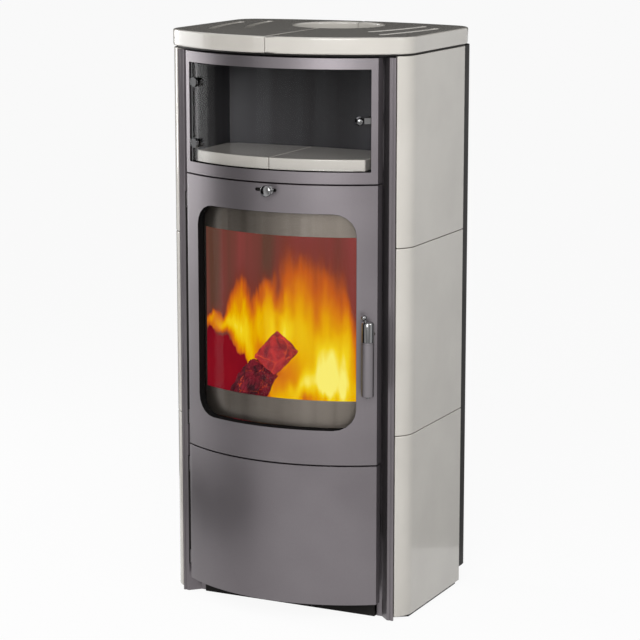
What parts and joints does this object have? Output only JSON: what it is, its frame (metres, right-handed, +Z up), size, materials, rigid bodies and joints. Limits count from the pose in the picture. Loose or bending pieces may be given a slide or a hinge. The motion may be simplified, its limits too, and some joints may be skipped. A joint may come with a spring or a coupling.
{
  "type": "tiled stove",
  "caption": "Freestanding wood stove clad in glazed ceramic tiles: curved metal front with a windowed fire door, a glazed warming compartment above, a storage compartment below and a top flue.",
  "frame": {"origin": "on the floor, under the middle of the outer box", "axes": "+X to the right seen from the front, -Y out of the front, +Z up"},
  "size_m": [0.543, 0.491, 1.2],
  "materials": {
    "tile": "glossy glaze",
    "painted_steel": "metallic heat-proof paint, satin",
    "black_steel": "matt black heat-proof paint",
    "cast_iron": "dark matt",
    "bare_steel": "bare sheet",
    "chrome": "polished",
    "glass": "clear ceramic glass",
    "firebrick": "dry, matt",
    "seal_rope": "braided glass-fibre rope"
  },
  "bodies": {
    "stove_body": {"base_plate": "black_steel", "corner_profile_right": "painted_steel", "corner_profile_left": "painted_steel", "side_tile_lower_right": "tile", "side_tile_lower_left": "tile", "side_tile_middle_right": "tile", "side_tile_middle_left": "tile", "side_tile_upper_right": "tile", "side_tile_upper_left": "tile", "side_panel_right": "black_steel", "side_panel_left": "black_steel", "rear_cover": "black_steel", "carcass_back": "black_steel", "air_inlet_pipe": "black_steel", "rear_outlet_cover": "black_steel", "top_plate_right": "tile", "top_plate_left": "tile", "top_frame": "black_steel", "compartment_frame": "painted_steel", "compartment_floor": "black_steel", "compartment_ceiling": "black_steel", "compartment_liner": "black_steel", "shelf_tile_right": "tile", "shelf_tile_left": "tile", "glass_hinge_rod": "chrome", "glass_door_magnet": "black_steel", "fire_door_hinge": "black_steel", "lower_door_hinge": "black_steel", "lower_door_magnet": "black_steel", "firebox_front": "cast_iron", "firebox_floor": "cast_iron", "firebox_ceiling": "cast_iron", "firebox_shell": "cast_iron", "hearth_brick": "firebrick", "side_brick_right": "firebrick", "side_brick_left": "firebrick", "rear_brick": "firebrick", "baffle_plate": "firebrick", "grate": "cast_iron", "log_retainer": "bare_steel", "air_deflector": "bare_steel", "flue_pipe": "cast_iron", "pan_rail_right": "black_steel", "pan_rail_left": "black_steel"},
    "glass_door": {"compartment_glass": "glass", "glass_clamp_lower": "chrome", "glass_clamp_upper": "chrome", "glass_knob": "chrome", "glass_catch_plate": "chrome"},
    "fire_door": {"fire_door_panel": "painted_steel", "fire_door_glass": "glass", "glass_retainer": "black_steel", "fire_door_seal": "seal_rope"},
    "door_handle": {"handle_shaft": "bare_steel", "handle_sleeve": "chrome", "handle_grip": "painted_steel"},
    "air_slide": {"air_knob": "chrome", "air_slide_plate": "black_steel"},
    "lower_door": {"lower_door_panel": "painted_steel"},
    "ash_pan": {"ash_pan": "bare_steel"}
  },
  "joints": [
    {"name": "glass_door_swing", "type": "hinge", "parent": "stove_body", "child": "glass_door", "pos_m": [-0.2, -0.1595, 1.035], "axis": [0, 0, -1], "range_deg": [0, 90]},
    {"name": "fire_door_swing", "type": "hinge", "parent": "stove_body", "child": "fire_door", "pos_m": [-0.22, -0.1425, 0.62], "axis": [0, 0, -1], "range_deg": [0, 100]},
    {"name": "handle_turn", "type": "hinge", "parent": "fire_door", "child": "door_handle", "pos_m": [0.2095, -0.17, 0.606], "axis": [0, -1, 0], "range_deg": [0, 45]},
    {"name": "air_slide_travel", "type": "slide", "parent": "fire_door", "child": "air_slide", "axis": [1, 0, 0], "range_m": [-0.03, 0.01]},
    {"name": "lower_door_swing", "type": "hinge", "parent": "stove_body", "child": "lower_door", "pos_m": [-0.22, -0.1425, 0.18], "axis": [0, 0, -1], "range_deg": [0, 100]},
    {"name": "ash_pan_slide", "type": "slide", "parent": "stove_body", "child": "ash_pan", "axis": [0, -1, 0], "range_m": [0, 0.09]}
  ]
}
